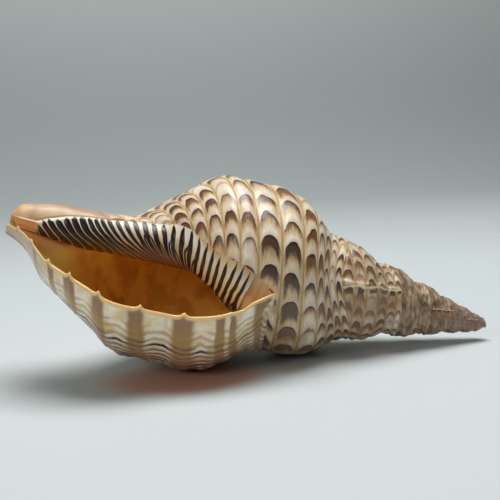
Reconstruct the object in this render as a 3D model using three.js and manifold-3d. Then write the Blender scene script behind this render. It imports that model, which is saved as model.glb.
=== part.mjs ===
// A triton's trumpet shell (a large sea snail's shell) lying on its side, mouth up and forward.
// Millimetres, +Z up. The shell is first worked out along its coiling axis, x from the canal's tip
// to the apex, and each solid is turned into the pose in which the shell rests on a surface.
import * as THREE from 'three';
import { mergeVertices } from 'three/addons/utils/BufferGeometryUtils.js';
import Module from 'manifold-3d';

const wasm = await Module();
wasm.setup();

// Driving dimensions
const LENGTH = 350;
const LOST_TIP = 14;
const WHORLS = 7;
const WHORL_RATIO = 1.4;
const LIP_SUTURE = 170;
const LIP_ANGLE = 262;
const WALL = 3;

// Resting pose, in degrees: how much lower the apex lies, and the turn about the coiling axis
const REST_PITCH = 16.7;
const REST_ROLL = 3.6;
const RESTING_FLAT = 0.8;

// The suture drops away from the apex close to the lip, and once more on the body whorl's front
const LIP_DROP = 0.1;
const FRONT_DROP = 0.1;
const FRONT_DROP_AT = 0.917;
const FRONT_DROP_WIDTH = 0.13;

// Whorl outline: distance from the lost tip against radius, both over the suture's distance
const OUTLINE = [
  [1.0, 0.287], [1.1, 0.303], [1.2, 0.384], [1.3, 0.437], [1.42, 0.459], [1.56, 0.455],
  [1.7, 0.442], [1.8, 0.362], [1.9, 0.271], [2.0, 0.168], [2.12, 0.054], [2.3, 0.05],
];
const SPIRE_SLIMMING = 0.165;

// Neck round the canal, and the pillar that the whorls wind round: x against radius
const NECK = [[0, 2.7], [11, 9], [24, 13.5], [38, 15], [67, 15.6], [90, 17.5], [130, 17], [150, 0]];
const PILLAR = [
  [0, 0.5], [12, 1.5], [26, 6.7], [52, 10.5], [75, 7.5], [97, 5], [115, 5.5], [135, 8], [350, 5],
];

// Inside the mouth the whorl before is slimmer, as if it were some turns older: the angles between
// which that sets in, and by how many turns
const SLIMMER_FROM = 272;
const SLIMMER_TO = 190;
const SLIMMER_TURNS = 0.32;

// Lip: x against how far the edge runs ahead (degrees) and how far it flares outwards
const LIP_AHEAD = [
  [0, 5], [30, -3], [70, -7], [115, -9], [158, -2], [170, 9], [178, 15], [190, 15],
];
const LIP_FLARE = [[0, 11], [30, 30], [70, 15], [115, 6], [160, 17], [190, 25]];
const FLARE_SPAN = 0.236;
const TEETH_X = [6, 16, 27, 42, 65, 92, 124, 157];
const TOOTH_AHEAD = 2.6;

// Callus, the smooth layer on the inner side of the mouth: x against the turns back from the lip
// at which it ends on the body whorl
const CALLUS = 1.5;
const CALLUS_EDGE = [[100, 0.67], [127, 0.833], [160, 0.897], [176, 0.933], [190, 0.97], [205, 1.2]];
const CALLUS_FADE = 0.035;

// Old lips left as ridges every two thirds of a turn
const VARIX_FIRST = 0.567;
const VARIX_STEP = 0.667;
const VARIX_HEIGHT = 0.022;
const VARIX_RISE = 0.05;
const VARIX_DROP = 0.015;

// Spiral cords
const CORD_HEIGHT = 0.0065;
const SPIRE_CORDS = 5;

// Open canal: x against radius, and how far it sits off the axis
const CANAL = [[-9, 0], [-9, 5.5], [0, 5.6], [12, 7], [26, 9], [40, 7], [54, 0]];
const CANAL_SIDE = 235;
const CANAL_OFFSET = 3.4;
const CANAL_FACES = 14;

// Mesh steps
const STEPS_PER_TURN = 32;
const SPIRE_COLUMNS = 2 * SPIRE_CORDS;
const BODY_COLUMNS = 30;
const CAVITY_COLUMNS = 11;
const CAVITY_START = -0.07;
const CAVITY_TURN = 0.5;
const CAVITY_DEPTH = 1.3;

const smooth = (from, to, x) => {
  const t = Math.min(Math.max((x - from) / (to - from), 0), 1);
  return t * t * (3 - 2 * t);
};
const lerp = THREE.MathUtils.lerp;
const softMax = (a, b, k) => Math.max(a, b) + 0.35 * k * Math.exp(-Math.abs(a - b) / k);

// Straight-line reading of a list of [x, value] pairs
function read(pairs, x) {
  if (x <= pairs[0][0]) return pairs[0][1];
  for (let k = 1; k < pairs.length; k += 1) {
    if (x <= pairs[k][0]) {
      const [x0, y0] = pairs[k - 1];
      const [x1, y1] = pairs[k];
      return lerp(y0, y1, (x - x0) / (x1 - x0));
    }
  }
  return pairs[pairs.length - 1][1];
}

const outlineCurve = new THREE.SplineCurve(OUTLINE.map(([d, r]) => new THREE.Vector2(d, r)));
const outlinePairs = outlineCurve.getPoints(220).map((p) => [p.x, p.y]);

// Below, u counts turns back from the lip and d is the distance from the lost tip of the spire
const fromTip = (x) => LENGTH + LOST_TIP - x;
const grown = (u) => LIP_SUTURE * WHORL_RATIO ** -u;

function suture(u) {
  const front = Math.exp(-(((u - FRONT_DROP_AT) / FRONT_DROP_WIDTH) ** 2));
  return grown(u) * (1 + LIP_DROP * smooth(0.42, 0.1, u) + FRONT_DROP * front);
}

function plainRadius(u, d) {
  const scale = grown(u);
  const late = suture(u) / scale - 1;
  const ratio = d / scale;
  const shifted = ratio < 1.5 ? 1.5 - ((1.5 - ratio) * 0.5) / (0.5 - late) : ratio;
  const slim = 1 - SPIRE_SLIMMING * smooth(1.19, 1.6, u);
  return scale * slim * read(outlinePairs, shifted);
}

function varix(u) {
  let height = 0;
  for (let at = VARIX_FIRST; at < WHORLS - 1; at += VARIX_STEP) {
    const behind = u - at;
    const width = behind > 0 ? VARIX_RISE : VARIX_DROP;
    height += VARIX_HEIGHT * Math.exp(-((behind / width) ** 2));
  }
  return height;
}

function lipFlare(u, d) {
  return read(LIP_FLARE, fromTip(d)) * smooth(FLARE_SPAN, 0, u) * smooth(0, 15, d - suture(u));
}

function lipAhead(u, d) {
  return read(LIP_AHEAD, fromTip(d)) * smooth(0.3, 0, u) * smooth(0, 8, d - suture(u));
}

// How far a place lies within the callus: 0 on the bare shell, 1 on the callus
function onCallus(u, d) {
  const edge = read(CALLUS_EDGE, fromTip(d));
  return smooth(edge, edge + CALLUS_FADE, u);
}

function whorlRadius(u, d, narrowest = read(NECK, fromTip(d))) {
  const scale = grown(u);
  const start = suture(u);
  const fall = 1 - smooth(0, 0.18, (d - start) / scale);
  const fit = (plainRadius(u + 1, start) - plainRadius(u, start)) * fall;
  const ridge = scale * varix(u) * smooth(0, 0.1, (d - start) / scale);
  const own = plainRadius(u, d) + fit + ridge;
  const callus = CALLUS * onCallus(u, d);
  return softMax(own, narrowest, 4) + lipFlare(u, d) + callus;
}

// Radius of the wall on the inner side of the hollow: the whorl before, or the pillar
function innerRadius(angle, x) {
  const inside = smooth(SLIMMER_FROM, SLIMMER_TO, angle);
  const u = 1 + (LIP_ANGLE - angle) / 360 + SLIMMER_TURNS * inside;
  return whorlRadius(u, fromTip(x), lerp(read(NECK, x), read(PILLAR, x), inside));
}

// Radius of the hollow's outer side. On the second turn that whorl is the slimmer one in the mouth.
function hollowRadius(u, d) {
  const shared = u > 0.9 ? innerRadius(LIP_ANGLE - 360 * (u - 1), fromTip(d)) : Infinity;
  return Math.min(whorlRadius(u, d), shared) - WALL;
}

// Angles run from the top towards the back
function place(angle, x, radius) {
  const a = THREE.MathUtils.degToRad(angle);
  return new THREE.Vector3(x, radius * Math.sin(a), radius * Math.cos(a));
}

const resting = new THREE.Matrix4()
  .makeRotationY(THREE.MathUtils.degToRad(REST_PITCH))
  .multiply(new THREE.Matrix4().makeRotationX(THREE.MathUtils.degToRad(REST_ROLL)));

function solidOf(points, triangles) {
  const rested = points.map((p) => p.clone().applyMatrix4(resting));
  const mesh = new wasm.Mesh({
    numProp: 3,
    vertProperties: new Float32Array(rested.flatMap((p) => [p.x, p.y, p.z])),
    triVerts: new Uint32Array(triangles.flat()),
  });
  return new wasm.Manifold(mesh);
}

function solidFrom(geometry) {
  geometry.deleteAttribute('normal');
  geometry.deleteAttribute('uv');
  const merged = mergeVertices(geometry, 1e-4);
  const mesh = new wasm.Mesh({
    numProp: 3,
    vertProperties: new Float32Array(merged.attributes.position.array),
    triVerts: new Uint32Array(merged.index.array),
  });
  return new wasm.Manifold(mesh);
}

// Outside of the shell as one closed solid: a spiral grid sewn to itself along the suture, with a
// step at the lip
function outsideSolid() {
  const points = [];
  const triangles = [];
  const ids = new Map();
  const rows = WHORLS * STEPS_PER_TURN;
  const bodyRow = rows - STEPS_PER_TURN;
  const last = SPIRE_COLUMNS + BODY_COLUMNS;
  const splitRatio = suture(0) / grown(1);

  const add = (p) => points.push(p) - 1;
  const canalEnd = add(place(0, 0, 0));
  const apex = add(place(0, LENGTH, 0));

  // The columns up to the split are covered by the next whorl, the others only on the body whorl
  function distanceAt(u, j) {
    const split = u >= 1 ? suture(u - 1) : splitRatio * grown(u);
    if (j <= SPIRE_COLUMNS) return lerp(suture(u), split, j / SPIRE_COLUMNS);
    return lerp(split, fromTip(0), (j - SPIRE_COLUMNS) / (BODY_COLUMNS - 1));
  }

  function cordHeight(u, d, j) {
    const crest = j % 2 ? 1 : -1;
    const faded = smooth(30, 90, fromTip(d)) * smooth(WHORLS, WHORLS - 2, u);
    return crest * CORD_HEIGHT * grown(u) * faded * (1 - onCallus(u, d));
  }

  function nearestColumn(x) {
    let best = 0;
    for (let j = 1; j < last; j += 1) {
      const off = (k) => Math.abs(fromTip(distanceAt(0, k)) - x);
      if (off(j) < off(best)) best = j;
    }
    return best;
  }
  const toothColumns = new Set(TEETH_X.map(nearestColumn));

  function gridPoint(i, j) {
    const u = (rows - i) / STEPS_PER_TURN;
    const d = distanceAt(u, j);
    const onSuture = j === 0 || (j === SPIRE_COLUMNS && i <= bodyRow);
    const cord = onSuture ? 0 : cordHeight(u, d, j);
    const tooth = i === rows && toothColumns.has(j) ? TOOTH_AHEAD : 0;
    const angle = LIP_ANGLE - 360 * u + lipAhead(u, d) + tooth;
    return place(angle, fromTip(d), whorlRadius(u, d) + cord);
  }

  function id(i, j) {
    if (j === last) return canalEnd;
    if (j === 0 && i >= STEPS_PER_TURN) return id(i - STEPS_PER_TURN, SPIRE_COLUMNS);
    const key = i * 1000 + j;
    if (!ids.has(key)) ids.set(key, add(gridPoint(i, j)));
    return ids.get(key);
  }

  function face(a, b, c) {
    if (a !== b && b !== c && c !== a) triangles.push([a, b, c]);
  }

  for (let i = 0; i < rows; i += 1) {
    const columns = i >= bodyRow ? last : SPIRE_COLUMNS;
    for (let j = 0; j < columns; j += 1) {
      face(id(i, j), id(i + 1, j), id(i, j + 1));
      face(id(i, j + 1), id(i + 1, j), id(i + 1, j + 1));
    }
  }

  // Broken apex
  for (let i = 0; i < STEPS_PER_TURN; i += 1) face(id(i + 1, 0), id(i, 0), apex);
  for (let j = 0; j < SPIRE_COLUMNS; j += 1) face(id(0, j), id(0, j + 1), apex);

  // Step from the lip's edge down to the whorl inside it
  let k = 0;
  let m = SPIRE_COLUMNS;
  while (k < last || m < last) {
    const outer = id(rows, Math.min(k + 1, last));
    const inner = id(bodyRow, Math.min(m + 1, last));
    const moveOuter = m >= last || (k < last && points[outer].x > points[inner].x);
    if (moveOuter) {
      face(outer, id(rows, k), id(bodyRow, m));
      k += 1;
    } else {
      face(id(bodyRow, m), inner, id(rows, k));
      m += 1;
    }
  }
  return solidOf(points, triangles);
}

// The hollow, from just past the lip back into the shell
function hollowSolid() {
  const stops = [];
  for (let u = CAVITY_START; u < CAVITY_TURN; u += 1 / 36) stops.push(u);
  for (let u = CAVITY_TURN; u <= CAVITY_DEPTH; u += 1 / 20) stops.push(u);
  const points = [];
  const triangles = [];
  const width = 2 * (CAVITY_COLUMNS + 1);

  for (const u of stops) {
    const back = Math.max(u, 0);
    const lift = lerp(0.8, -0.3, smooth(-0.01, 0.03, u));
    const angleAt = (d) => LIP_ANGLE - 360 * u + lipAhead(back, d);
    const gap = (d) => hollowRadius(back, d) - innerRadius(angleAt(d), fromTip(d));
    let start = suture(back) + 3;
    while (gap(start) < 1.5) start += 0.5;
    const reach = lerp(2.18, 2.0, smooth(0.05, 0.4, back)) - 0.15 * smooth(0.9, 1.2, back);
    const end = grown(back) * reach;
    for (let j = 0; j <= CAVITY_COLUMNS; j += 1) {
      const d = lerp(start, end, j / CAVITY_COLUMNS);
      const x = fromTip(d);
      const high = hollowRadius(back, Math.min(d, fromTip(0)));
      const low = Math.min(innerRadius(angleAt(d), x) + lift, high - 1);
      points.push(place(angleAt(d), x, low), place(angleAt(d), x, high));
    }
  }

  const at = (k, j, side) => k * width + 2 * j + side;
  const quad = (a, b, c, e) => triangles.push([a, b, c], [a, c, e]);
  const end = CAVITY_COLUMNS;
  const deep = stops.length - 1;
  for (let j = 0; j < end; j += 1) {
    for (let k = 0; k < deep; k += 1) {
      quad(at(k, j, 1), at(k, j + 1, 1), at(k + 1, j + 1, 1), at(k + 1, j, 1));
      quad(at(k, j, 0), at(k + 1, j, 0), at(k + 1, j + 1, 0), at(k, j + 1, 0));
    }
    quad(at(0, j, 0), at(0, j + 1, 0), at(0, j + 1, 1), at(0, j, 1));
    quad(at(deep, j, 0), at(deep, j, 1), at(deep, j + 1, 1), at(deep, j + 1, 0));
  }
  for (let k = 0; k < deep; k += 1) {
    quad(at(k, 0, 0), at(k, 0, 1), at(k + 1, 0, 1), at(k + 1, 0, 0));
    quad(at(k, end, 0), at(k + 1, end, 0), at(k + 1, end, 1), at(k, end, 1));
  }
  return solidOf(points, triangles);
}

// The open canal: a round bar that runs out through the shell's narrow end
function canalSolid() {
  const profile = CANAL.map(([x, r]) => new THREE.Vector2(r, x));
  const bar = new THREE.LatheGeometry(profile, CANAL_FACES);
  bar.rotateZ(-Math.PI / 2);
  const aside = place(CANAL_SIDE, 0, CANAL_OFFSET);
  bar.translate(0, aside.y, aside.z);
  bar.applyMatrix4(resting);
  return solidFrom(bar);
}

// What lies under the surface that the shell rests on: its lowest points are worn flat there
function underSurface(solid) {
  const lowest = solid.boundingBox().min[2];
  const depth = 20;
  const slab = new THREE.BoxGeometry(3 * LENGTH, 2 * LENGTH, depth);
  slab.translate(0, 0, lowest + RESTING_FLAT - depth / 2);
  return solidFrom(slab);
}

function geometryOf(solid) {
  const { vertProperties, triVerts } = solid.getMesh();
  const geometry = new THREE.BufferGeometry();
  geometry.setAttribute('position', new THREE.BufferAttribute(vertProperties, 3));
  geometry.setIndex(new THREE.BufferAttribute(triVerts, 1));
  return geometry;
}

// The origin is under the middle of the shell, on the surface
function centred(geometry) {
  geometry.computeBoundingBox();
  const { min, max } = geometry.boundingBox;
  geometry.translate(-(min.x + max.x) / 2, -(min.y + max.y) / 2, -min.z);
  return geometry;
}

function shellGeometry() {
  const outside = outsideSolid();
  const grownShell = outside.subtract(hollowSolid()).subtract(canalSolid());
  return centred(geometryOf(grownShell.subtract(underSurface(grownShell))));
}

const shell = new THREE.Mesh(
  shellGeometry(),
  new THREE.MeshStandardMaterial({ color: 0xd9c7a6, roughness: 0.32, metalness: 0 }),
);
shell.name = 'shell';

const triton = new THREE.Group();
triton.add(shell);

export default triton;
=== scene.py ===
"""A triton's trumpet shell lying on a pale floor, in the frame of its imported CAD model."""

import math

import bpy
import numpy as np
from mathutils import Matrix, Vector


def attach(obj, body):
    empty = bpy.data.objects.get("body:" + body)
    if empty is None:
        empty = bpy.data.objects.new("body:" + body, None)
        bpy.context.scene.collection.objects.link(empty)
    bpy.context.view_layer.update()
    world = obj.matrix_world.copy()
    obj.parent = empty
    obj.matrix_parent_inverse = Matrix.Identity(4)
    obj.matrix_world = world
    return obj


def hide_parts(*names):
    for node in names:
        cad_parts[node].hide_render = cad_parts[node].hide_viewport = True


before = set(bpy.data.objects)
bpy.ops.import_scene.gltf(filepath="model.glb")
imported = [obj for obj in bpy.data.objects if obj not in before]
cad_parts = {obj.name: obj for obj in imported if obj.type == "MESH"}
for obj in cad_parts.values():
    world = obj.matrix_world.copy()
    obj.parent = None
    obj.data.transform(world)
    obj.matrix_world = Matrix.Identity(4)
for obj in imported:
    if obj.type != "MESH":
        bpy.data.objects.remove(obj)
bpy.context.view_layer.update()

# The shell's own sizes, in millimetres along its coiling axis: x runs from the canal's tip to the
# apex, u counts turns back from the lip, and d is the distance from the lost tip of the spire
LENGTH = 350
LOST_TIP = 14
WHORLS = 7
WHORL_RATIO = 1.4
LIP_SUTURE = 170
LIP_ANGLE = 262
WALL = 3

# Where the coiling axis lies in the frame: the canal's tip (mm), and the resting angles (degrees)
CANAL_TIP = (-166.13, 8.944, 110.837)
REST_PITCH = 16.7
REST_ROLL = 3.6

LIP_DROP = 0.1
FRONT_DROP = 0.1
FRONT_DROP_AT = 0.917
FRONT_DROP_WIDTH = 0.13

OUTLINE = [
    (1.0, 0.287), (1.1, 0.303), (1.2, 0.384), (1.3, 0.437), (1.42, 0.459), (1.56, 0.455),
    (1.7, 0.442), (1.8, 0.362), (1.9, 0.271), (2.0, 0.168), (2.12, 0.054), (2.3, 0.05),
]
SPIRE_SLIMMING = 0.165
NECK = [(0, 4.5), (11, 9.5), (24, 13), (38, 15), (67, 15.6), (90, 17.5), (130, 17), (150, 0)]
PILLAR = [(0, 0.5), (12, 1.5), (26, 6.7), (52, 10.5), (75, 7.5), (97, 5), (115, 5.5), (135, 8), (350, 5)]

# Inside the mouth the whorl before is slimmer, as if it were some turns older
SLIMMER_FROM = 272
SLIMMER_TO = 190
SLIMMER_TURNS = 0.32

LIP_AHEAD = [(0, -3), (12, 1), (30, -3), (70, -7), (115, -9), (158, -2), (170, 9), (178, 15), (190, 15)]
LIP_FLARE = [(0, 11), (30, 30), (70, 15), (115, 6), (160, 17), (190, 25)]
FLARE_SPAN = 0.236
SPUR = 7
SPUR_SPAN = 0.045
RIM_SHARE = 0.7

VARIX_FIRST = 0.567
VARIX_STEP = 0.667
VARIX_HEIGHT = 0.022
VARIX_RISE = 0.04
VARIX_DROP = 0.008
VARIX_LAG = -0.028
VARIX_LEAN = 0.041

# The lip's cusps, and the brown bands on its outer face: x and half width
TEETH_X = [-2, 8, 19, 32.5, 47, 66.5, 93, 121, 150, 178]
TOOTH_LENGTH = 3.4
LIP_BANDS = [
    (22, 1.5), (34.5, 2.2), (47, 3.5), (66.7, 4), (91, 5), (121, 6.5), (144, 2.8), (152, 2), (166, 2.6),
]
BAND_SLANT = 110
LAMELLA_STEP = 0.0135

# Ribs: place over the suture's distance against the rib's number, on the body and on the spire
RIBS = [
    (1.0, 0), (1.078, 1.5), (1.128, 2.5), (1.185, 3.5), (1.262, 4.5), (1.41, 5.5), (1.56, 6.5),
    (1.67, 7.5), (1.75, 8.5), (1.815, 9.5), (1.885, 10.5), (1.945, 11.5), (2.01, 12.5), (2.08, 13.5),
    (2.16, 14.5), (2.3, 16),
]
SPIRE_RIBS = [
    (1.0, 1), (1.08, 2.5), (1.17, 3.5), (1.285, 4.5), (1.39, 5.5), (1.48, 6.5), (1.6, 7.5), (2.3, 16),
]
RIB_HEIGHT = 0.0085
RIB_SHARE = 0.88
ARCHES_PER_TURN = 20
ARCH_RISE = 0.55
ARCH_POWER = 2.7

# Callus: x against the angle at which it ends on the body whorl, and its last x at the lip
CALLUS_EDGE = [
    (18, 284), (24.5, 297), (36, 313), (51, 326.6), (71, 337), (88, 350), (97, 350), (104, 340),
    (110.6, 333), (116.5, 324), (123, 313), (133, 299), (144, 292), (156, 288), (165, 283), (173, 279),
    (178.5, 272), (181, 262),
]
CALLUS_END = 179
CALLUS = 1.3
CALLUS_DEPTH_ANGLE = 80

# Stripes of the callus: x at the lip's angle against how far they have moved DRIFT_ANGLE further
# out, against their number, and how soon they bend
DRIFT_ANGLE = 38
STRIPE_DRIFT = [
    (0, 5), (27, 8), (50, 12), (66, 14), (88, 20), (98, 21), (112, 8), (125, 3), (143, 0), (155, -5),
    (180, -8),
]
STRIPE_NUMBER = [(0, -3), (20, 0), (66, 6.5), (98, 11.5), (112, 16), (160, 28), (180, 32)]
STRIPE_BEND = 30

# Mesh steps
ROWS_PER_TURN = 208
ROW_CROWDING = 0.72
SPIRE_COLUMNS = 36
BODY_COLUMNS = 100
LIP_ROWS = 7
INSIDE_ROWS = 56
INSIDE_DEPTH = 0.8
CALLUS_COLUMNS = 250
CALLUS_ROWS = 110

MM = 0.001


def smooth(low, high, x):
    t = np.clip((x - low) / (high - low), 0, 1)
    return t * t * (3 - 2 * t)


def lerp(a, b, t):
    return a + (b - a) * t


def read(pairs, x):
    xs, ys = zip(*pairs)
    return np.interp(x, xs, ys)


def soft_max(a, b, k):
    return np.maximum(a, b) + 0.35 * k * np.exp(-np.abs(a - b) / k)


def curve_through(pairs, steps=24):
    """Catmull-Rom curve through the points, as pairs."""
    p = np.array(pairs, float)
    made = []
    for i in range(len(p) - 1):
        before, start = p[max(i - 1, 0)], p[i]
        stop, after = p[i + 1], p[min(i + 2, len(p) - 1)]
        t = np.linspace(0, 1, steps, endpoint=False)[:, None]
        leave, arrive = (stop - before) / 2, (after - start) / 2
        cubic = 2 * (start - stop) + leave + arrive
        square = 3 * (stop - start) - 2 * leave - arrive
        made.append(cubic * t ** 3 + square * t ** 2 + leave * t + start)
    made.append(p[-1:])
    return np.concatenate(made)


OUTLINE_CURVE = curve_through(OUTLINE)


def from_tip(x):
    return LENGTH + LOST_TIP - x


def grown(u):
    return LIP_SUTURE * WHORL_RATIO ** -u


def suture(u):
    front = np.exp(-(((u - FRONT_DROP_AT) / FRONT_DROP_WIDTH) ** 2))
    return grown(u) * (1 + LIP_DROP * smooth(0.42, 0.1, u) + FRONT_DROP * front)


def place_on_whorl(u, d):
    """Place across the whorl, over the suture's distance: 1 at the suture."""
    ratio = d / grown(u)
    late = suture(u) / grown(u) - 1
    return np.where(ratio < 1.5, 1.5 - (1.5 - ratio) * 0.5 / (0.5 - late), ratio)


def plain_radius(u, d):
    slim = 1 - SPIRE_SLIMMING * smooth(1.19, 1.6, u)
    outline = np.interp(place_on_whorl(u, d), OUTLINE_CURVE[:, 0], OUTLINE_CURVE[:, 1])
    return grown(u) * slim * outline


def varix_lag(u, d):
    """The old lips on the spire lean: they stand further back towards the canal."""
    share = np.clip((d / grown(u) - 1) / 0.4, 0, 1)
    return lerp(VARIX_LAG, VARIX_LAG + VARIX_LEAN, share) * smooth(1.0, 1.15, u)


def varix(u):
    height = 0 * u
    for at in np.arange(VARIX_FIRST, WHORLS - 1, VARIX_STEP):
        behind = u - at
        width = np.where(behind > 0, VARIX_RISE, VARIX_DROP)
        height = height + np.exp(-((behind / width) ** 2))
    return VARIX_HEIGHT * height


def lip_flare(u, d):
    return read(LIP_FLARE, from_tip(d)) * smooth(FLARE_SPAN, 0, u) * smooth(0, 15, d - suture(u))


def lip_ahead(u, d):
    return read(LIP_AHEAD, from_tip(d)) * smooth(0.3, 0, u) * smooth(0, 8, d - suture(u))


def spur(u, d):
    """Towards the apex the lip's last corner stands free as a small point."""
    off = d - suture(u)
    return SPUR * smooth(SPUR_SPAN, 0, u) * smooth(0, 5, off) * smooth(16, 6, off)


def own_radius(u, d, narrowest):
    scale = grown(u)
    start = suture(u)
    fall = 1 - smooth(0, 0.18, (d - start) / scale)
    fit = (plain_radius(u + 1, start) - plain_radius(u, start)) * fall
    ridge = scale * varix(u - varix_lag(u, d)) * smooth(0, 0.1, (d - start) / scale)
    return soft_max(plain_radius(u, d) + fit + ridge, narrowest, 4)


def whorl_radius(u, d):
    return (own_radius(u, d, read(NECK, from_tip(d))) + lip_flare(u, d)) * tip_taper(u, from_tip(d))


def inner_radius(angle, x):
    """The wall on the inner side of the hollow: the whorl before, or the pillar."""
    inside = smooth(SLIMMER_FROM, SLIMMER_TO, angle)
    u = 1 + (LIP_ANGLE - angle) / 360 + SLIMMER_TURNS * inside
    return own_radius(u, from_tip(x), lerp(read(NECK, x), read(PILLAR, x), inside)) * tip_taper(u, x)


def tip_taper(u, x):
    """The shell ends in a point over the canal, away from the lip."""
    return lerp(1, lerp(0.12, 1, smooth(-1, 6, x)), smooth(0.2, 0.45, u))


def rib_place(u, d):
    place = place_on_whorl(u, d)
    return lerp(read(RIBS, place), read(SPIRE_RIBS, place), smooth(1.12, 1.45, u))


def rib_relief(u, d):
    """Broad low ribs with two threads in each groove, fading out on the neck and the old spire."""
    side = np.abs(2 * (rib_place(u, d) % 1) - 1)
    main = np.clip(1 - (side / RIB_SHARE) ** 3, 0, 1)
    threads = 0.3 * smooth(0.05, 0.0, np.abs(side - 0.95))
    faded = smooth(20, 90, from_tip(d)) * smooth(WHORLS + 0.5, 2.5, u)
    return RIB_HEIGHT * grown(u) * faded * (main + threads)


def scale_relief(u, d):
    """Each scale along a rib ends in a low step."""
    side = np.clip(np.abs(2 * (rib_place(u, d) % 1) - 1) / RIB_SHARE, 0, 1)
    step = (-ARCHES_PER_TURN * u - ARCH_RISE * (1 - side ** ARCH_POWER)) % 1
    return 0.0022 * grown(u) * step ** 3 * (1 - side) * smooth(0.1, 0.2, u) * smooth(3.5, 2, u)


def erosion(u, d):
    """The old spire is worn into an uneven surface."""
    across = place_on_whorl(u, d)
    waves = np.sin(41 * u + 9 * across) + 0.7 * np.sin(67 * u - 23 * across)
    waves = waves + 0.6 * np.sin(113 * u + 31 * across)
    return 0.0065 * grown(u) * waves * smooth(1.7, 2.8, u)


def tooth(x):
    """Height of the lip's cusps: a scalloped edge with a cusp at each of TEETH_X."""
    share = np.interp(x, TEETH_X, np.arange(len(TEETH_X))) % 1
    cusp = np.abs(2 * share - 1) ** 7
    return TOOTH_LENGTH * cusp * smooth(0, 4, x) * lerp(0.3, 1, smooth(140, 124, x)) * smooth(170, 160, x)


def lip_relief(u, d):
    """Low folds behind the lip that run out into its cusps, and lamellae on the lip's outer face."""
    x = from_tip(d)
    share = np.interp(x - BAND_SLANT * u, TEETH_X, np.arange(len(TEETH_X))) % 1
    fold = np.abs(2 * share - 1) ** 3 * smooth(0.12, 0.0, u) * smooth(172, 150, x)
    off = d - suture(u)
    fringe = smooth(24, 6, off) * smooth(0, 3, off) * smooth(0.14, 0.0, u)
    fringe = fringe * np.sin(2 * np.pi * (u / 0.011 + 0.3 * np.sin(d / 1.9)))
    sheet = (u / LAMELLA_STEP - 0.35 * np.cos(2 * np.pi * share)) % 1
    sheets = sheet ** 3 * smooth(0.035, 0.06, u) * smooth(0.2, 0.15, u)
    return 1.1 * fold + 0.6 * fringe + 0.7 * sheets


def on_callus(u, d):
    """How far a place on the body whorl lies under the callus."""
    x = from_tip(d)
    inside = callus_edge(x) - (LIP_ANGLE + 360 * (1 - u))
    return smooth(0, 7, inside) * smooth(CALLUS_END + 1, CALLUS_END - 2, x) * smooth(10, 24, x) * (u <= 1.02)


def outside_radius(u, d):
    relief = (rib_relief(u, d) + scale_relief(u, d)) * lerp(0.1, 1, smooth(0.05, 0.16, u))
    bare = whorl_radius(u, d) + relief + lip_relief(u, d) + erosion(u, d)
    under = np.minimum(bare, inner_radius(LIP_ANGLE + 360 * (1 - u), from_tip(d))) - 0.9
    return lerp(bare, under, on_callus(u, d))


def outside_angle(u, d):
    r = np.maximum(whorl_radius(u, d), 6)
    cusps = np.degrees(tooth(from_tip(d)) / r) * smooth(0.02, 0, u)
    return LIP_ANGLE - 360 * u + lip_ahead(u, d) + cusps


def point(angle, x, radius):
    """A point along the coiling axis. Angles are in degrees from the top towards the back."""
    a = np.radians(angle)
    return np.stack([x + 0 * a, radius * np.sin(a), radius * np.cos(a)], -1)


def resting(points):
    """From along the coiling axis (mm) to the frame (m)."""
    pitch = Matrix.Rotation(math.radians(REST_PITCH), 3, "Y")
    roll = Matrix.Rotation(math.radians(REST_ROLL), 3, "X")
    placed = points @ np.array(pitch @ roll).T + np.array(CANAL_TIP)
    placed[..., 2] = np.maximum(placed[..., 2], 0)
    return placed * MM


def grid_faces(ids):
    """Quads of a grid of vertex numbers, and the grid place of each of their corners."""
    rows, columns = ids.shape
    i, j = np.meshgrid(np.arange(rows - 1), np.arange(columns - 1), indexing="ij")
    first = i * columns + j
    corner = np.stack([first, first + columns, first + columns + 1, first + 1], -1).reshape(-1, 4)
    return ids.reshape(-1)[corner], corner


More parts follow.
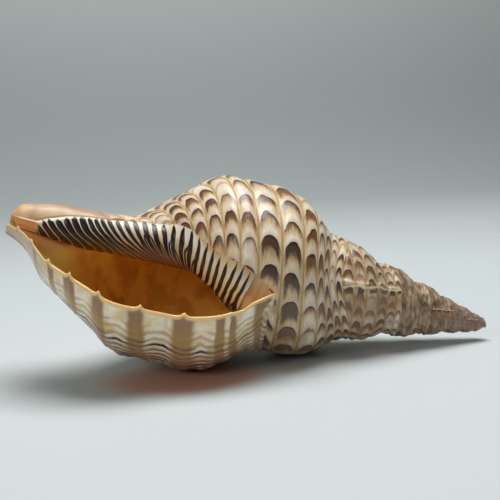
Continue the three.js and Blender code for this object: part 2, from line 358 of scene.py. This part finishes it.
class Sheets:
    """Grids of points joined into one mesh, with UV maps that are given corner by corner."""

    def __init__(self):
        self.points, self.faces, self.slots = [], [], []
        self.maps = {"ribs": [], "where": []}
        self.count = 0

    def add_points(self, points):
        points = points.reshape(-1, 3)
        self.points.append(points)
        self.count += len(points)
        return np.arange(self.count - len(points), self.count)

    def add_grid(self, ids, slot, **maps):
        faces, corners = grid_faces(ids)
        apart = np.array([len(set(f)) == 4 for f in faces])
        faces, corners = faces[apart], corners[apart]
        self.faces.append(faces)
        self.slots.append(np.full(len(faces), slot))
        for name, made in self.maps.items():
            made.append(maps[name].reshape(-1, 2)[corners.reshape(-1)])

    def add_cap(self, ring, middle, slot, **maps):
        """Close a ring of an even number of edges with quads that meet in the middle."""
        k = np.arange(0, len(ring) - 1, 2)
        self.faces.append(np.stack([np.full(len(k), middle), ring[k], ring[k + 1], ring[k + 2]], -1))
        self.slots.append(np.full(len(k), slot))
        for name, made in self.maps.items():
            made.append(np.broadcast_to(np.array(maps[name], float), (4 * len(k), 2)))

    def build(self, name, materials):
        points = np.concatenate(self.points)
        faces = np.concatenate(self.faces)
        mesh = bpy.data.meshes.new(name)
        mesh.vertices.add(len(points))
        mesh.vertices.foreach_set("co", resting(points).reshape(-1))
        mesh.loops.add(faces.size)
        mesh.loops.foreach_set("vertex_index", faces.reshape(-1).astype(np.int32))
        mesh.polygons.add(len(faces))
        mesh.polygons.foreach_set("loop_start", np.arange(0, faces.size, 4, dtype=np.int32))
        mesh.polygons.foreach_set("material_index", np.concatenate(self.slots).astype(np.int32))
        mesh.update(calc_edges=True)
        mesh.polygons.foreach_set("use_smooth", np.ones(len(faces), bool))
        for title, made in self.maps.items():
            layer = mesh.uv_layers.new(name=title)
            layer.data.foreach_set("uv", np.concatenate(made).reshape(-1).astype(np.float32))
        for material in materials:
            mesh.materials.append(material)
        mesh.validate()
        piece = bpy.data.objects.new(name, mesh)
        bpy.context.scene.collection.objects.link(piece)
        return piece


def turn_steps():
    """Places of one turn's rows within the turn, closer together near the lip."""
    k = np.arange(ROWS_PER_TURN) / ROWS_PER_TURN
    return k - ROW_CROWDING * np.sin(2 * np.pi * k) / (2 * np.pi)


def rib_map(u, d):
    return np.stack([rib_place(u, d), -ARCHES_PER_TURN * u + 0 * d], -1)


def where_map(u, d):
    return np.stack([from_tip(d) / 100 + 0 * u, u + 0 * d], -1)


def add_outside(sheets):
    """The outside: a spiral grid sewn to itself along the suture, wide open on the last turn."""
    rows = WHORLS * ROWS_PER_TURN
    k = rows - np.arange(rows + 1)
    u = (k // ROWS_PER_TURN + turn_steps()[k % ROWS_PER_TURN])[:, None]
    split_ratio = suture(0) / grown(1)
    split = np.where(u >= 1, suture(np.maximum(u - 1, 0)), split_ratio * grown(u))
    share = np.linspace(0, 1, SPIRE_COLUMNS + 1)[None, :]
    d = lerp(suture(u), split, share)
    at_seam = (share == 0) | ((share == 1) & (u >= 1))
    radius = np.where(at_seam, whorl_radius(u, d), outside_radius(u, d))
    spire_ids = sheets.add_points(point(outside_angle(u, d), from_tip(d) + spur(u, d), radius))
    spire_ids = spire_ids.reshape(rows + 1, -1)
    spire_ids[ROWS_PER_TURN:, 0] = spire_ids[:-ROWS_PER_TURN, -1]
    sheets.add_grid(spire_ids, 0, ribs=rib_map(u, d), where=where_map(u, d))
    add_apex(sheets, spire_ids)

    body = slice(rows - ROWS_PER_TURN, rows + 1)
    body_u = u[body]
    share = np.linspace(0, 1, BODY_COLUMNS + 1)[None, :]
    body_d = lerp(split[body], from_tip(0), share)
    body_points = point(outside_angle(body_u, body_d), from_tip(body_d), outside_radius(body_u, body_d))
    body_ids = sheets.add_points(body_points).reshape(ROWS_PER_TURN + 1, -1)
    body_ids[:, 0] = spire_ids[body, -1]
    sheets.add_grid(body_ids, 0, ribs=rib_map(body_u, body_d), where=where_map(body_u, body_d))
    return np.concatenate([spire_ids[-1], body_ids[-1][1:]])


def add_apex(sheets, spire_ids):
    """The broken apex: a low dome over the first turn's suture and its starting edge."""
    ring = np.concatenate([spire_ids[:ROWS_PER_TURN + 1, 0], spire_ids[0, -2::-1]])
    tip = point(np.zeros(1), LENGTH, np.zeros(1))
    shoulder = sheets.add_points(lerp(sheets.points[0][ring], tip, 0.45) + [0.5, 0, 0])
    shoulder[-1] = shoulder[0]
    middle = sheets.add_points(tip)[0]
    ribs, where = (0.5, -WHORLS * ARCHES_PER_TURN), (LENGTH / 100, WHORLS)
    flat = np.zeros((2, len(ring), 2))
    sheets.add_grid(np.stack([shoulder, ring]), 0, ribs=flat + ribs, where=flat + where)
    sheets.add_cap(shoulder, middle, 0, ribs=ribs, where=where)


def lip_distances():
    spire = lerp(suture(0), suture(0) / grown(1) * grown(0), np.linspace(0, 1, SPIRE_COLUMNS + 1))
    body = lerp(spire[-1], from_tip(0), np.linspace(0, 1, BODY_COLUMNS + 1))
    return np.concatenate([spire, body[1:]])


def wall_at(u, d):
    """Thickness of the wall: thin at the suture and at the canal's end."""
    return WALL * smooth(-1, 9, d - suture(u)) * lerp(0.55, 1, smooth(0, 25, from_tip(d)))


def add_mouth(sheets, edge_ids):
    """The lip's rounded rim and the inner side of the outer wall, back into the shell."""
    d = lip_distances()[None, :]
    zero = np.zeros((1, 1))
    outer = outside_radius(zero, d)
    edge_angle = outside_angle(zero, d)
    wall = RIM_SHARE * wall_at(zero, d)
    turn = np.linspace(0, np.pi, LIP_ROWS + 1)[1:, None]
    rim_radius = outer - wall / 2 + wall / 2 * np.cos(turn)
    rim_angle = edge_angle + np.degrees(0.7 * wall * np.sin(turn) / np.maximum(outer, 5))
    rim = point(rim_angle, from_tip(d) + spur(zero, d) + 0 * turn, rim_radius)

    u = (np.linspace(0, 1, INSIDE_ROWS + 1)[1:, None] ** 1.3) * INSIDE_DEPTH
    start, width = suture(u), from_tip(0) - suture(0)
    inside_d = start + (d - suture(0)) / width * (from_tip(0) - start)
    angle = outside_angle(u, inside_d)
    thickness = wall_at(u, inside_d) * lerp(RIM_SHARE, 1, smooth(0, 0.04, u))
    bare = whorl_radius(u, inside_d) - thickness
    floor = inner_radius(angle, from_tip(inside_d))
    closing = smooth(INSIDE_DEPTH * 0.8, INSIDE_DEPTH, u)
    radius = lerp(np.maximum(bare, floor - 0.6), floor - 0.6, closing)
    inside = point(angle, from_tip(inside_d) + spur(u, inside_d), radius)

    ids = sheets.add_points(np.concatenate([rim, inside])).reshape(-1, d.shape[1])
    ids = np.concatenate([edge_ids[None, :], ids])
    all_u = np.concatenate([zero, -0.001 * turn, u])
    all_d = np.concatenate([d, d + 0 * turn, inside_d])
    ribs, where = rib_map(all_u, all_d), where_map(all_u, all_d)
    sheets.add_grid(ids, 1, ribs=ribs, where=where)


def callus_edge(x):
    return read(CALLUS_EDGE, x)


def along_stripe(home, angle):
    """x at an angle, on the stripe that stands at x = home where the lip is."""
    out = 1 - np.exp(-np.maximum(angle - LIP_ANGLE, 0) / STRIPE_BEND)
    out = out / (1 - np.exp(-DRIFT_ANGLE / STRIPE_BEND))
    into = np.minimum(angle - LIP_ANGLE, 0) / 24
    drift = read(STRIPE_DRIFT, home)
    back = np.maximum(LIP_ANGLE - angle, 0) / 360
    reach = np.maximum(from_tip(suture(back)) + 0.5, CALLUS_END)
    stretch = (reach - CALLUS_END) * smooth(0.5 * CALLUS_END, CALLUS_END, home)
    x = home - drift * out - np.maximum(drift, 0) * 0.7 * np.tanh(into / 0.7) + stretch
    return np.clip(x, 1, reach)


def add_callus(sheets):
    """The inner lip: a smooth layer over the whorl before and the pillar, with raised stripes."""
    w = np.linspace(0, 1, CALLUS_ROWS + 1)[:, None] ** 1.2
    home = np.linspace(1.5, CALLUS_END, CALLUS_COLUMNS + 1)[None, :]
    start = np.full(home.shape, 300.0)
    for _ in range(40):
        start = lerp(start, callus_edge(along_stripe(home, start)), 0.4)
    angle = lerp(start, CALLUS_DEPTH_ANGLE, w)
    x = along_stripe(home, angle)
    rise = lerp(-0.7, CALLUS, smooth(0, lerp(0.05, 0.16, smooth(100, 130, home)), w))
    number = read(STRIPE_NUMBER, home)
    ridge = 0.25 * np.cos(2 * np.pi * number) * smooth(0, 0.06, w)
    ridge = ridge * smooth(150, 200, angle) * smooth(18, 24, home)
    radius = inner_radius(angle, x) + rise + ridge
    ids = sheets.add_points(point(angle, x, radius)).reshape(angle.shape)
    stripes = np.stack([number + 0 * w, (start - angle) / 100], -1)
    sheets.add_grid(ids, 0, ribs=stripes, where=np.stack([x / 100, angle / 100], -1))


def rgb(red, green, blue):
    """A colour given as a screen shows it, from 0 to 255."""
    linear = [((c / 255 + 0.055) / 1.055) ** 2.4 if c > 10 else c / 255 / 12.92 for c in (red, green, blue)]
    return (*linear, 1)


class Nodes:
    """A material's node tree, written as sums."""

    def __init__(self, name):
        self.material = bpy.data.materials.new(name)
        self.material.use_nodes = True
        self.tree = self.material.node_tree
        self.shader = self.tree.nodes["Principled BSDF"]

    def node(self, kind, inputs=(), **settings):
        made = self.tree.nodes.new(kind)
        for key, value in settings.items():
            setattr(made, key, value)
        for key, value in dict(inputs).items():
            self.put(made.inputs[key], value)
        return made

    def put(self, socket, value):
        if isinstance(value, bpy.types.NodeSocket):
            self.tree.links.new(value, socket)
        else:
            socket.default_value = value

    def math(self, operation, a, b=0.0, c=0.0, clamp=False):
        made = self.node("ShaderNodeMath", {0: a, 1: b, 2: c}, operation=operation, use_clamp=clamp)
        return made.outputs[0]

    def step(self, low, high, value, to=(0.0, 1.0), smoothly=True):
        kind = "SMOOTHSTEP" if smoothly else "LINEAR"
        inputs = {"Value": value, "From Min": low, "From Max": high, "To Min": to[0], "To Max": to[1]}
        return self.node("ShaderNodeMapRange", inputs, interpolation_type=kind).outputs["Result"]

    def mix(self, amount, a, b):
        made = self.node("ShaderNodeMix", data_type="RGBA")
        self.put(made.inputs["Factor"], amount)
        self.put(made.inputs[6], a)
        self.put(made.inputs[7], b)
        return made.outputs[2]

    def map(self, name):
        uv = self.node("ShaderNodeUVMap", uv_map=name).outputs["UV"]
        parts = self.node("ShaderNodeSeparateXYZ", {0: uv})
        return parts.outputs["X"], parts.outputs["Y"]

    def vector(self, x, y, z=0.0):
        return self.node("ShaderNodeCombineXYZ", {"X": x, "Y": y, "Z": z}).outputs["Vector"]

    def position(self):
        return self.node("ShaderNodeTexCoord").outputs["Object"]

    def noise(self, vector, scale, detail=3.0, roughness=0.55):
        inputs = {"Vector": vector, "Scale": scale, "Detail": detail, "Roughness": roughness}
        return self.node("ShaderNodeTexNoise", inputs).outputs["Fac"]

    def random(self, vector):
        made = self.node("ShaderNodeTexWhiteNoise", {"Vector": vector}, noise_dimensions="3D")
        return made.outputs["Value"]

    def bump(self, height, strength, distance):
        inputs = {"Height": height, "Strength": strength, "Distance": distance}
        return self.node("ShaderNodeBump", inputs).outputs["Normal"]


WHITE = rgb(242, 232, 214)
CREAM = rgb(228, 202, 156)
SAND = rgb(204, 162, 100)
OLIVE = rgb(156, 112, 54)
BROWN = rgb(118, 68, 34)
MAROON = rgb(56, 26, 20)
SLATE = rgb(98, 74, 68)
DRAB = rgb(98, 70, 46)
MAUVE = rgb(142, 112, 100)
AMBER = rgb(232, 186, 92)
DEEP_AMBER = rgb(206, 154, 66)
PEACH = rgb(234, 194, 148)
INK = rgb(20, 9, 7)
RUST = rgb(140, 76, 34)


def arch_pattern(n, rib, growth, u):
    """Scales in rows along each rib: a thin arch, often dark under it, fading to white below."""
    slow = n.math("SUBTRACT", n.noise(n.position(), 42.0), 0.5)
    grain = n.noise(n.vector(n.math("MULTIPLY", rib, 9.0), growth), 2.2, 2.0)
    rib = n.math("ADD", rib, n.math("MULTIPLY", slow, 0.12))
    number = n.math("FLOOR", rib)
    side = n.math("ABSOLUTE", n.math("SUBTRACT", n.math("MULTIPLY", n.math("FRACT", rib), 2.0), 1.0))
    across = n.math("DIVIDE", side, RIB_SHARE)
    on_rib = n.step(1.06, 0.98, across)
    dome = n.math("SUBTRACT", 1.0, n.math("POWER", n.math("MINIMUM", across, 1.0), ARCH_POWER))
    shift = n.math("MULTIPLY", n.random(n.vector(number, 3.0)), 0.4)
    along = n.math("ADD", n.math("ADD", growth, shift), n.math("MULTIPLY", slow, 1.1))
    phase = n.math("SUBTRACT", along, n.math("MULTIPLY", dome, ARCH_RISE))
    cell = n.math("FLOOR", phase)
    q = n.math("FRACT", phase)

    chance = n.random(n.vector(number, cell, 1.0))
    group = n.noise(n.vector(n.math("MULTIPLY", number, 0.3), n.math("MULTIPLY", cell, 0.6)), 1.0, 1.0)
    chance = n.math("ADD", n.math("MULTIPLY", chance, 0.75), n.math("SUBTRACT", group, 0.38))
    # Painted shade: around one turn back from the lip (u from 0.9 to 1.34) more scales are dark, for the
    # lower side that lies in shadow
    below = n.math("MULTIPLY", n.step(0.9, 1.04, u), n.step(1.34, 1.22, u))
    chance = n.math("ADD", chance, n.math("MULTIPLY", below, 0.22))
    tint = n.random(n.vector(number, cell, 5.0))
    dark_from = n.step(0.15, 0.9, chance, (0.7, 0.2), False)
    streaks = n.math("MULTIPLY", n.math("SUBTRACT", grain, 0.5), 0.5)
    reach = n.math("ADD", q, streaks)
    is_dark = n.math("MULTIPLY", n.step(1.02, 0.7, across), n.step(0.2, 0.34, chance))
    dark = n.math("MULTIPLY", n.step(dark_from, n.math("ADD", dark_from, 0.34), reach), is_dark)
    halo_from = n.math("SUBTRACT", dark_from, 0.3)
    halo = n.math("MULTIPLY", n.step(halo_from, n.math("ADD", dark_from, 0.1), reach), is_dark)

    ground = n.mix(n.step(0.3, 0.7, grain, (0.0, 0.5)), WHITE, CREAM)
    ground = n.mix(n.step(0.62, 1.0, across), ground, CREAM)
    ground = n.mix(n.step(0.0, 0.3, q, (0.5, 0.0)), ground, rgb(190, 168, 146))
    tan = n.math("MULTIPLY", n.step(0.4, 0.9, q), n.step(0.8, 0.1, tint))
    colour = n.mix(n.math("MULTIPLY", n.math("MAXIMUM", tan, halo), 0.7), ground, SAND)
    shade = n.mix(n.step(0.2, 0.7, tint), BROWN, MAROON)
    shade = n.mix(n.step(0.7, 1.0, n.math("ADD", slow, tint)), shade, SLATE)
    colour = n.mix(n.math("MULTIPLY", dark, 0.92), colour, shade)
    outline = n.math("MULTIPLY", n.step(0.84, 0.93, q), n.step(1.0, 0.97, q, (0.4, 1.0)))
    colour = n.mix(n.math("MULTIPLY", outline, 0.75), colour, n.mix(dark, OLIVE, MAROON))

    threads = n.step(0.04, 0.01, n.math("ABSOLUTE", n.math("SUBTRACT", side, 0.94)))
    threads = n.math("MAXIMUM", threads, n.step(0.03, 0.01, n.math("SUBTRACT", 1.0, side)))
    groove = n.mix(n.math("MULTIPLY", threads, 0.6), n.mix(grain, CREAM, SAND), OLIVE)
    groove = n.mix(n.step(0.05, 0.25, slow, (0.0, 0.6)), groove, BROWN)
    raised = n.math("ADD", n.math("MULTIPLY", n.step(0.3, 1.0, q), on_rib), n.math("MULTIPLY", threads, 0.4))
    return n.mix(on_rib, groove, colour), raised


def old_lips(n, colour, rib, u):
    """Each former lip: a cream edge, with brown spots in a row behind it and a brown zone further on."""
    lean = n.math("MULTIPLY", n.math("SUBTRACT", rib, 1.0), VARIX_LEAN / 4.4)
    wobble = n.math("MULTIPLY", n.math("SUBTRACT", n.noise(n.position(), 130.0), 0.5), 0.022)
    since = n.math("SUBTRACT", n.math("SUBTRACT", u, n.math("ADD", lean, wobble)), VARIX_FIRST + VARIX_LAG)
    behind = n.math("MULTIPLY", n.math("FRACT", n.math("DIVIDE", since, VARIX_STEP)), VARIX_STEP)
    past = n.math("GREATER_THAN", u, VARIX_FIRST + 0.5)
    zone = n.math("MULTIPLY", n.step(0.02, 0.04, behind), n.step(0.12, 0.06, behind))
    colour = n.mix(n.math("MULTIPLY", n.math("MULTIPLY", zone, past), 0.55), colour, rgb(150, 100, 50))
    edge = n.math("MULTIPLY", n.step(0.008, 0.003, behind), past)
    beads = n.math("MULTIPLY", n.step(0.007, 0.01, behind), n.step(0.028, 0.02, behind))
    spot = n.math("ABSOLUTE", n.math("SUBTRACT", n.math("FRACT", rib), 0.5))
    beads = n.math("MULTIPLY", n.math("MULTIPLY", beads, past), n.step(0.36, 0.22, spot))
    colour = n.mix(n.math("MULTIPLY", beads, 0.9), colour, rgb(88, 50, 22))
    return n.mix(n.math("MULTIPLY", edge, 0.85), colour, rgb(244, 224, 182))


def outside_material():
    n = Nodes("shell_outside")
    rib, growth = n.map("ribs")
    x, u = n.map("where")
    colour, raised = arch_pattern(n, rib, growth, u)

    blotch = n.noise(n.position(), 42.0, 4.0)
    streak = n.noise(n.vector(n.math("MULTIPLY", rib, 1.3), n.math("MULTIPLY", growth, 0.35)), 1.3, 5.0, 0.65)
    worn = n.mix(n.step(0.36, 0.64, streak), rgb(186, 156, 122), DRAB)
    worn = n.mix(n.step(0.56, 0.72, blotch), worn, rgb(66, 40, 26))
    seam = n.math("MAXIMUM", n.step(1.6, 1.0, rib), n.step(4.7, 5.4, rib))
    worn = n.mix(n.math("MULTIPLY", seam, 0.6), worn, rgb(64, 42, 28))
    worn = n.mix(n.step(3.4, 5.6, u, (0.0, 0.8)), worn, MAUVE)
    # Painted shade: around one turn back from the lip (u from 0.9 to 1.12) the colour is streaked darker
    # brown, for the lower side that lies in shadow
    painted_shade_low = n.math("MULTIPLY", n.step(0.9, 1.12, u), n.step(0.4, 0.65, streak, (0.15, 0.6)))
    colour = n.mix(painted_shade_low, colour, rgb(124, 92, 58))
    colour = n.mix(n.step(1.6, 3.2, u, (0.0, 0.88)), colour, worn)
    colour = old_lips(n, colour, rib, u)

    bare = n.mix(n.step(0.35, 0.65, blotch), rgb(224, 190, 146), rgb(176, 140, 116))
    colour = n.mix(n.step(1.0, 0.62, x, (0.0, 0.85)), colour, bare)
    colour = n.mix(n.step(0.16, 0.08, x), colour, rgb(226, 186, 134))

    colour = lip_face(n, colour, x, u)
    fine = n.noise(n.vector(n.math("MULTIPLY", rib, 1.5), n.math("MULTIPLY", growth, 9.0)), 3.0, 4.0)
    pits = n.math("MULTIPLY", n.noise(n.position(), 210.0, 3.0), n.step(1.7, 3.0, u, (0.15, 1.6)))
    rough = n.math("MULTIPLY", n.math("ADD", fine, pits), 0.5)
    height = n.math("ADD", n.math("MULTIPLY", raised, 0.9), rough)
    n.put(n.shader.inputs["Base Color"], colour)
    n.put(n.shader.inputs["Roughness"], n.step(1.6, 2.8, u, (0.3, 0.6), False))
    n.put(n.shader.inputs["Normal"], n.bump(height, 0.5, 0.0007))
    n.shader.inputs["Coat Weight"].default_value = 0.2
    n.shader.inputs["Coat Roughness"].default_value = 0.15
    return n.material


def lip_face(n, colour, x, u):
    """Behind the lip the shell is white, with brown bands under the cusps and wavy lamellae."""
    place = n.math("SUBTRACT", x, n.math("MULTIPLY", u, BAND_SLANT / 100))
    grain = n.noise(n.position(), 90.0)
    unsteady = n.math("MULTIPLY", n.math("SUBTRACT", n.noise(n.position(), 60.0), 0.5), 0.035)
    bands = 0.0
    near = 0.0
    for middle, half in LIP_BANDS:
        off = n.math("ABSOLUTE", n.math("SUBTRACT", place, middle / 100))
        near = n.math("MAXIMUM", near, n.step(0.13, 0.02, off))
        bands = n.math("MAXIMUM", bands, n.step(half * 0.014, half * 0.007, n.math("ADD", off, unsteady)))
    dark = n.math("MULTIPLY", n.step(0.04, 0.008, u), 0.6)
    brown = n.mix(dark, n.mix(grain, rgb(168, 122, 66), rgb(190, 150, 94)), rgb(118, 74, 46))
    white = n.mix(n.step(0.35, 0.7, grain), rgb(252, 240, 216), rgb(234, 202, 152))
    face = n.mix(n.math("MULTIPLY", bands, n.step(0.02, 0.16, u, (0.95, 0.6))), white, brown)

    wave = n.math("MULTIPLY", n.math("SUBTRACT", 1.0, near), 0.011)
    wave = n.math("ADD", wave, n.math("MULTIPLY", n.math("SUBTRACT", grain, 0.5), 0.012))
    lines = n.math("DIVIDE", n.math("ADD", u, wave), LAMELLA_STEP)
    edge = n.math("FRACT", lines)
    line = n.math("MULTIPLY", n.step(0.36, 0.7, edge), n.step(1.0, 0.94, edge))
    presence = n.math("ADD", n.random(n.vector(n.math("FLOOR", lines), 2.0)), 0.55)
    faint = n.math("MULTIPLY", n.step(0.014, 0.022, u), n.step(0.052, 0.042, u))
    faint = n.math("MULTIPLY", n.math("MULTIPLY", faint, line), 0.5)
    strong = n.math("MULTIPLY", n.math("MULTIPLY", n.step(0.04, 0.056, u), line), presence)
    strong = n.math("MULTIPLY", strong, n.math("SUBTRACT", 1.0, n.math("MULTIPLY", near, 0.55)), clamp=True)
    tinged = n.math("MULTIPLY", n.step(0.045, 0.075, u), n.step(0.2, 0.6, edge))
    face = n.mix(n.math("MULTIPLY", tinged, 0.6), face, rgb(204, 160, 130))
    face = n.mix(faint, face, rgb(166, 130, 72))
    face = n.mix(strong, face, rgb(58, 30, 20))
    face = n.mix(n.step(0.42, 0.12, x, (0.0, 0.65)), face, rgb(186, 146, 110))
    rim = n.step(0.004, 0.0005, u)
    face = n.mix(n.math("MULTIPLY", rim, 0.8), face, rgb(238, 200, 140))
    return n.mix(n.step(0.2, 0.15, u), colour, face)


def mouth_material():
    n = Nodes("shell_mouth")
    x, u = n.map("where")
    cloud = n.noise(n.position(), 62.0, 3.0)
    amber = n.mix(n.step(0.4, 0.66, cloud), AMBER, DEEP_AMBER)
    amber = n.mix(n.step(0.66, 0.2, x), amber, PEACH)
    colour = n.mix(n.step(0.018, 0.004, u), amber, rgb(244, 196, 138))
    n.put(n.shader.inputs["Base Color"], colour)
    n.shader.inputs["Roughness"].default_value = 0.22
    n.shader.inputs["Coat Weight"].default_value = 0.4
    n.shader.inputs["Coat Roughness"].default_value = 0.1
    n.shader.inputs["Subsurface Weight"].default_value = 0.5
    n.shader.inputs["Subsurface Radius"].default_value = (1.0, 0.65, 0.3)
    n.shader.inputs["Subsurface Scale"].default_value = 0.008
    return n.material


def stripe_lines(n, stripe, depth, x):
    """Black lines at every whole stripe, and between them lines that join one from below."""
    warp = n.math("SUBTRACT", n.noise(n.position(), 38.0, 2.0), 0.5)
    place = n.math("ADD", stripe, n.math("MULTIPLY", warp, 0.75))
    number = n.math("FLOOR", place)
    f = n.math("FRACT", place)
    whole = n.math("MINIMUM", f, n.math("SUBTRACT", 1.0, f))
    left = n.step(0.45, 0.8, x, (0.17, 0.0))
    share = n.math("ADD", n.step(0.03, 0.3, depth, (0.17, 0.29)), left)
    ragged = n.math("MULTIPLY", warp, 0.12)
    own_start = n.math("MULTIPLY", n.random(n.vector(number, 4.0)), 0.08)
    share = n.math("MULTIPLY", share, n.step(own_start, n.math("ADD", own_start, 0.09), depth))
    ink = n.step(n.math("ADD", share, 0.035), n.math("SUBTRACT", share, 0.045), n.math("ADD", whole, ragged))

    joins = n.math("ADD", n.math("MULTIPLY", n.random(n.vector(number, 9.0)), 0.35), 0.18)
    lean = n.math("SUBTRACT", n.math("GREATER_THAN", n.random(n.vector(number, 6.0)), 0.5), 0.5)
    spread = n.step(joins, n.math("ADD", joins, 0.22), depth)
    middle = n.math("ADD", 0.5, n.math("MULTIPLY", lean, n.math("SUBTRACT", 1.0, spread)))
    off = n.math("ABSOLUTE", n.math("SUBTRACT", f, middle))
    width = n.math("MULTIPLY", n.step(joins, n.math("ADD", joins, 0.1), depth), 0.13)
    width = n.math("MULTIPLY", width, n.step(0.5, 0.75, x))
    between = n.step(n.math("ADD", width, 0.03), n.math("SUBTRACT", width, 0.04), off)
    return n.math("MAXIMUM", ink, between)


def callus_material():
    n = Nodes("shell_inner_lip")
    stripe, depth = n.map("ribs")
    x, angle = n.map("where")
    ink = stripe_lines(n, stripe, depth, x)
    ink = n.math("MULTIPLY", ink, n.step(0.17, 0.21, x))
    ink = n.math("MULTIPLY", ink, n.step(28.3, 27.7, stripe))
    ink = n.math("MULTIPLY", ink, n.step(0.02, 0.05, depth))
    grain = n.noise(n.position(), 80.0)
    glaze = n.mix(n.step(0.3, 0.7, grain), rgb(222, 194, 148), rgb(188, 150, 102))
    white = n.mix(n.step(0.3, 0.75, grain, (0.0, 0.6)), WHITE, rgb(222, 202, 170))
    low = n.step(0.12, 0.6, depth)
    white = n.mix(n.math("MULTIPLY", low, 0.75), white, rgb(178, 122, 70))
    apexward = n.math("MULTIPLY", n.step(1.16, 1.3, x), n.step(0.17, 0.05, depth))
    ground = n.mix(n.math("MAXIMUM", apexward, n.step(27.6, 28.2, stripe)), white, glaze)
    dark = n.mix(n.step(0.5, 0.95, depth, (0.0, 0.5)), INK, RUST)
    colour = n.mix(ink, ground, dark)
    colour = n.mix(n.step(2.2, 1.95, angle, (0.0, 0.9)), colour, DEEP_AMBER)
    colour = n.mix(n.step(0.21, 0.17, x), colour, rgb(206, 156, 106))
    raised = n.math("SUBTRACT", 1.0, ink)
    n.put(n.shader.inputs["Base Color"], colour)
    n.put(n.shader.inputs["Normal"], n.bump(raised, 0.5, 0.0006))
    n.shader.inputs["Roughness"].default_value = 0.36
    n.shader.inputs["Coat Weight"].default_value = 0.15
    n.shader.inputs["Coat Roughness"].default_value = 0.2
    return n.material


def dress(piece):
    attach(piece, "root")
    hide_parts("shell")
    return piece


def make_shell():
    sheets = Sheets()
    edge_ids = add_outside(sheets)
    add_mouth(sheets, edge_ids)
    piece = sheets.build("shell_whorls", [outside_material(), mouth_material()])
    return dress(piece)


def make_callus():
    sheets = Sheets()
    add_callus(sheets)
    return dress(sheets.build("shell_callus", [callus_material()]))


# Camera: place in the frame (mm), and the photograph's viewing angles in degrees
CAMERA_AT = (-96.1, -673.5, 183.2)
CAMERA_AZIMUTH = -7.69
CAMERA_ELEVATION = 8.78
CAMERA_ROLL = -2.17
FOCAL_PIXELS = 990
IMAGE_PIXELS = 500
SENSOR = 36


def add_camera():
    data = bpy.data.cameras.new("camera")
    data.sensor_width = SENSOR
    data.lens = SENSOR * FOCAL_PIXELS / IMAGE_PIXELS
    data.clip_start = 0.01
    data.clip_end = 50
    camera = bpy.data.objects.new("camera", data)
    bpy.context.scene.collection.objects.link(camera)
    heading = Matrix.Rotation(math.radians(CAMERA_AZIMUTH), 4, "Z")
    raise_up = Matrix.Rotation(math.radians(90 - CAMERA_ELEVATION), 4, "X")
    roll = Matrix.Rotation(math.radians(CAMERA_ROLL), 4, "Z")
    camera.matrix_world = Matrix.Translation(Vector(CAMERA_AT) * MM) @ heading @ raise_up @ roll
    bpy.context.scene.camera = camera


def add_area_light(name, place, target, size, power):
    data = bpy.data.lights.new(name, "AREA")
    data.shape = "RECTANGLE"
    data.size, data.size_y = size
    data.energy = power
    light = bpy.data.objects.new(name, data)
    light.location = place
    light.rotation_euler = (Vector(target) - Vector(place)).to_track_quat("-Z", "Y").to_euler()
    bpy.context.scene.collection.objects.link(light)


def add_stage():
    """Pale floor that curves up into a grey backdrop; its colour is painted greyer farther back and lighter
    up the wall as painted shade and light. A warm patch of painted light lies on the floor under the shell's
    lip, for light that shines through the lip.
    """
    floor = bpy.data.meshes.new("floor")
    depth = np.concatenate([np.linspace(-2.5, 1.0, 8), 1.0 + 0.9 * np.sin(np.linspace(0, np.pi / 2, 20)[1:])])
    height = np.concatenate([np.zeros(8), 0.9 - 0.9 * np.cos(np.linspace(0, np.pi / 2, 20)[1:])])
    depth = np.append(depth, 1.9)
    height = np.append(height, 3.5)
    points = [(side, y, z) for y, z in zip(depth, height) for side in (-4.0, 4.0)]
    faces = [(2 * k, 2 * k + 1, 2 * k + 3, 2 * k + 2) for k in range(len(depth) - 1)]
    floor.from_pydata(points, [], faces)
    floor.polygons.foreach_set("use_smooth", [True] * len(faces))
    n = Nodes("floor")
    parts = n.node("ShaderNodeSeparateXYZ", {0: n.position()})
    side, depth, height = (parts.outputs[axis] for axis in "XYZ")
    # Painted shade and light: the stage is greyer farther back and lighter up the wall
    painted_stage_tone = n.mix(n.step(0.2, 1.5, depth), rgb(200, 208, 209), rgb(178, 186, 186))
    painted_stage_tone = n.mix(n.step(0.1, 0.7, height), painted_stage_tone, rgb(236, 242, 240))
    # Painted light: a warm orange patch on the floor under the lip, for light that shines through the shell's
    # lip
    glow_x = n.math("DIVIDE", n.math("ADD", side, 0.058), 0.066)
    glow_y = n.math("DIVIDE", n.math("ADD", depth, 0.035), 0.045)
    away = n.math("ADD", n.math("MULTIPLY", glow_x, glow_x), n.math("MULTIPLY", glow_y, glow_y))
    painted_lip_glow = n.step(1.0, 0.1, away, (0.0, 0.7))
    n.put(n.shader.inputs["Base Color"], n.mix(painted_lip_glow, painted_stage_tone, rgb(206, 130, 78)))
    n.shader.inputs["Roughness"].default_value = 0.6
    floor.materials.append(n.material)
    piece = bpy.data.objects.new("floor", floor)
    bpy.context.scene.collection.objects.link(piece)


def add_light():
    world = bpy.data.worlds.new("studio")
    world.use_nodes = True
    world.node_tree.nodes["Background"].inputs["Color"].default_value = (0.88, 0.88, 0.86, 1)
    world.node_tree.nodes["Background"].inputs["Strength"].default_value = 0.11
    bpy.context.scene.world = world
    add_area_light("top", (0.1, 0.15, 1.5), (0, 0, 0.05), (1.1, 0.9), 27)
    add_area_light("front", (-1.2, -1.2, 0.9), (-0.05, 0, 0.05), (0.9, 0.5), 6.5)


add_camera()
make_shell()
make_callus()
add_stage()
add_light()
bpy.context.scene.view_settings.view_transform = "Standard"
